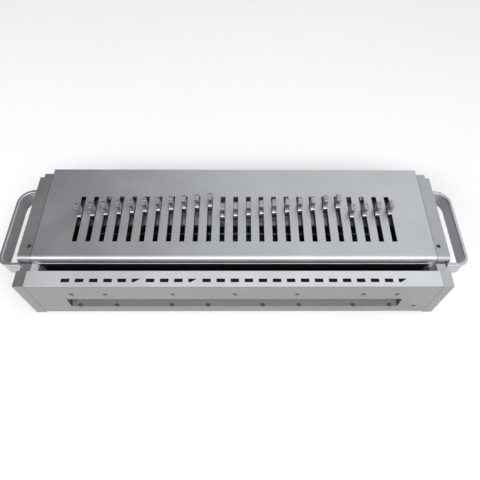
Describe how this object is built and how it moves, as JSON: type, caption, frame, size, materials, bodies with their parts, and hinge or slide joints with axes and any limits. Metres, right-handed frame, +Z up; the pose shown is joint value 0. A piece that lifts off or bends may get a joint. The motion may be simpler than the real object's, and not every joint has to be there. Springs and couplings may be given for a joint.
{
  "type": "comb binding punch die set",
  "caption": "Interchangeable punch die set for plastic comb binding: slotted cover, pull-tab punch pins on a pressure bar, paper throat, chip window and end handles.",
  "frame": {"origin": "middle of the overall length and depth, on the underside of the end plates", "axes": "+X along the row of pins to the right, +Z up, -Y towards the operator; the pins travel along -Y when punching"},
  "size_m": [0.495, 0.153, 0.082],
  "materials": {
    "cover": "satin silver paint, fine grain",
    "casting": "satin silver paint on cast metal",
    "aluminium": "satin anodised",
    "strip": "matte printed film on metal",
    "steel": "ground",
    "black": "blackened, satin",
    "chrome": "polished",
    "bronze": "turned bronze"
  },
  "bodies": {
    "housing": {"top_cover": "cover", "die_plate": "steel", "front_fascia": "aluminium", "pattern_strip": "strip", "guide_block": "black", "throat_floor": "black", "base_plate": "steel", "back_plate": "aluminium", "end_cover_left": "cover", "end_cover_screw_left": "steel", "end_plate_left": "casting", "handle_left": "casting", "throat_end_block_left": "casting", "guide_rod_left": "chrome", "return_spring_left": "steel", "end_cover_right": "cover", "end_cover_screw_right": "steel", "end_plate_right": "casting", "handle_right": "casting", "throat_end_block_right": "casting", "guide_rod_right": "chrome", "return_spring_right": "steel", "die_screw_1": "steel", "die_screw_2": "steel", "die_screw_3": "steel", "die_screw_4": "steel", "die_screw_5": "steel", "die_screw_6": "steel", "die_screw_7": "steel"},
    "carriage": {"pressure_bar": "black", "tab_plate": "aluminium", "keeper_strip": "steel", "push_rail": "steel", "rod_bush_left": "bronze", "rod_bush_right": "bronze"},
    "punch_pin_01_body": {"punch_pin_01": "chrome"},
    "punch_pin_02_body": {"punch_pin_02": "chrome"},
    "punch_pin_03_body": {"punch_pin_03": "chrome"},
    "punch_pin_04_body": {"punch_pin_04": "chrome"},
    "punch_pin_05_body": {"punch_pin_05": "chrome"},
    "punch_pin_06_body": {"punch_pin_06": "chrome"},
    "punch_pin_07_body": {"punch_pin_07": "chrome"},
    "punch_pin_08_body": {"punch_pin_08": "chrome"},
    "punch_pin_09_body": {"punch_pin_09": "chrome"},
    "punch_pin_10_body": {"punch_pin_10": "chrome"},
    "punch_pin_11_body": {"punch_pin_11": "chrome"},
    "punch_pin_12_body": {"punch_pin_12": "chrome"},
    "punch_pin_13_body": {"punch_pin_13": "chrome"},
    "punch_pin_14_body": {"punch_pin_14": "chrome"},
    "punch_pin_15_body": {"punch_pin_15": "chrome"},
    "punch_pin_16_body": {"punch_pin_16": "chrome"},
    "punch_pin_17_body": {"punch_pin_17": "chrome"},
    "punch_pin_18_body": {"punch_pin_18": "chrome"},
    "punch_pin_19_body": {"punch_pin_19": "chrome"},
    "punch_pin_20_body": {"punch_pin_20": "chrome"},
    "punch_pin_21_body": {"punch_pin_21": "chrome"},
    "punch_pin_22_body": {"punch_pin_22": "chrome"},
    "punch_pin_23_body": {"punch_pin_23": "chrome"},
    "punch_pin_24_body": {"punch_pin_24": "chrome"},
    "punch_pin_25_body": {"punch_pin_25": "chrome"}
  },
  "joints": [
    {"name": "punch_stroke", "type": "slide", "parent": "housing", "child": "carriage", "axis": [0, -1, 0], "range_m": [0, 0.026], "stiffness_N_per_m": 1200, "springref_m": -0.004, "deforming": ["return_spring_left", "return_spring_right"]},
    {"name": "punch_pin_01_travel", "type": "slide", "parent": "housing", "child": "punch_pin_01_body", "axis": [0, -1, 0], "range_m": [0, 0.026]},
    {"name": "punch_pin_02_travel", "type": "slide", "parent": "housing", "child": "punch_pin_02_body", "axis": [0, -1, 0], "range_m": [0, 0.026]},
    {"name": "punch_pin_03_travel", "type": "slide", "parent": "housing", "child": "punch_pin_03_body", "axis": [0, -1, 0], "range_m": [0, 0.026]},
    {"name": "punch_pin_04_travel", "type": "slide", "parent": "housing", "child": "punch_pin_04_body", "axis": [0, -1, 0], "range_m": [0, 0.026]},
    {"name": "punch_pin_05_travel", "type": "slide", "parent": "housing", "child": "punch_pin_05_body", "axis": [0, -1, 0], "range_m": [0, 0.026]},
    {"name": "punch_pin_06_travel", "type": "slide", "parent": "housing", "child": "punch_pin_06_body", "axis": [0, -1, 0], "range_m": [0, 0.026]},
    {"name": "punch_pin_07_travel", "type": "slide", "parent": "housing", "child": "punch_pin_07_body", "axis": [0, -1, 0], "range_m": [0, 0.026]},
    {"name": "punch_pin_08_travel", "type": "slide", "parent": "housing", "child": "punch_pin_08_body", "axis": [0, -1, 0], "range_m": [0, 0.026]},
    {"name": "punch_pin_09_travel", "type": "slide", "parent": "housing", "child": "punch_pin_09_body", "axis": [0, -1, 0], "range_m": [0, 0.026]},
    {"name": "punch_pin_10_travel", "type": "slide", "parent": "housing", "child": "punch_pin_10_body", "axis": [0, -1, 0], "range_m": [0, 0.026]},
    {"name": "punch_pin_11_travel", "type": "slide", "parent": "housing", "child": "punch_pin_11_body", "axis": [0, -1, 0], "range_m": [0, 0.026]},
    {"name": "punch_pin_12_travel", "type": "slide", "parent": "housing", "child": "punch_pin_12_body", "axis": [0, -1, 0], "range_m": [0, 0.026]},
    {"name": "punch_pin_13_travel", "type": "slide", "parent": "housing", "child": "punch_pin_13_body", "axis": [0, -1, 0], "range_m": [0, 0.026]},
    {"name": "punch_pin_14_travel", "type": "slide", "parent": "housing", "child": "punch_pin_14_body", "axis": [0, -1, 0], "range_m": [0, 0.026]},
    {"name": "punch_pin_15_travel", "type": "slide", "parent": "housing", "child": "punch_pin_15_body", "axis": [0, -1, 0], "range_m": [0, 0.026]},
    {"name": "punch_pin_16_travel", "type": "slide", "parent": "housing", "child": "punch_pin_16_body", "axis": [0, -1, 0], "range_m": [0, 0.026]},
    {"name": "punch_pin_17_travel", "type": "slide", "parent": "housing", "child": "punch_pin_17_body", "axis": [0, -1, 0], "range_m": [0, 0.026]},
    {"name": "punch_pin_18_travel", "type": "slide", "parent": "housing", "child": "punch_pin_18_body", "axis": [0, -1, 0], "range_m": [0, 0.026]},
    {"name": "punch_pin_19_travel", "type": "slide", "parent": "housing", "child": "punch_pin_19_body", "axis": [0, -1, 0], "range_m": [0, 0.026]},
    {"name": "punch_pin_20_travel", "type": "slide", "parent": "housing", "child": "punch_pin_20_body", "axis": [0, -1, 0], "range_m": [0, 0.026]},
    {"name": "punch_pin_21_travel", "type": "slide", "parent": "housing", "child": "punch_pin_21_body", "axis": [0, -1, 0], "range_m": [0, 0.026]},
    {"name": "punch_pin_22_travel", "type": "slide", "parent": "housing", "child": "punch_pin_22_body", "axis": [0, -1, 0], "range_m": [0, 0.026]},
    {"name": "punch_pin_23_travel", "type": "slide", "parent": "housing", "child": "punch_pin_23_body", "axis": [0, -1, 0], "range_m": [0, 0.026]},
    {"name": "punch_pin_24_travel", "type": "slide", "parent": "housing", "child": "punch_pin_24_body", "axis": [0, -1, 0], "range_m": [0, 0.026]},
    {"name": "punch_pin_25_travel", "type": "slide", "parent": "housing", "child": "punch_pin_25_body", "axis": [0, -1, 0], "range_m": [0, 0.026]}
  ],
  "couplings": [
    {"joint": "punch_pin_01_travel", "follows": "punch_stroke", "ratio": 1},
    {"joint": "punch_pin_02_travel", "follows": "punch_stroke", "ratio": 1},
    {"joint": "punch_pin_03_travel", "follows": "punch_stroke", "ratio": 1},
    {"joint": "punch_pin_04_travel", "follows": "punch_stroke", "ratio": 1},
    {"joint": "punch_pin_05_travel", "follows": "punch_stroke", "ratio": 1},
    {"joint": "punch_pin_06_travel", "follows": "punch_stroke", "ratio": 1},
    {"joint": "punch_pin_07_travel", "follows": "punch_stroke", "ratio": 1},
    {"joint": "punch_pin_08_travel", "follows": "punch_stroke", "ratio": 1},
    {"joint": "punch_pin_09_travel", "follows": "punch_stroke", "ratio": 1},
    {"joint": "punch_pin_10_travel", "follows": "punch_stroke", "ratio": 1},
    {"joint": "punch_pin_11_travel", "follows": "punch_stroke", "ratio": 1},
    {"joint": "punch_pin_12_travel", "follows": "punch_stroke", "ratio": 1},
    {"joint": "punch_pin_13_travel", "follows": "punch_stroke", "ratio": 1},
    {"joint": "punch_pin_14_travel", "follows": "punch_stroke", "ratio": 1},
    {"joint": "punch_pin_15_travel", "follows": "punch_stroke", "ratio": 1},
    {"joint": "punch_pin_16_travel", "follows": "punch_stroke", "ratio": 1},
    {"joint": "punch_pin_17_travel", "follows": "punch_stroke", "ratio": 1},
    {"joint": "punch_pin_18_travel", "follows": "punch_stroke", "ratio": 1},
    {"joint": "punch_pin_19_travel", "follows": "punch_stroke", "ratio": 1},
    {"joint": "punch_pin_20_travel", "follows": "punch_stroke", "ratio": 1},
    {"joint": "punch_pin_21_travel", "follows": "punch_stroke", "ratio": 1},
    {"joint": "punch_pin_22_travel", "follows": "punch_stroke", "ratio": 1},
    {"joint": "punch_pin_23_travel", "follows": "punch_stroke", "ratio": 1},
    {"joint": "punch_pin_24_travel", "follows": "punch_stroke", "ratio": 1},
    {"joint": "punch_pin_25_travel", "follows": "punch_stroke", "ratio": 1}
  ]
}
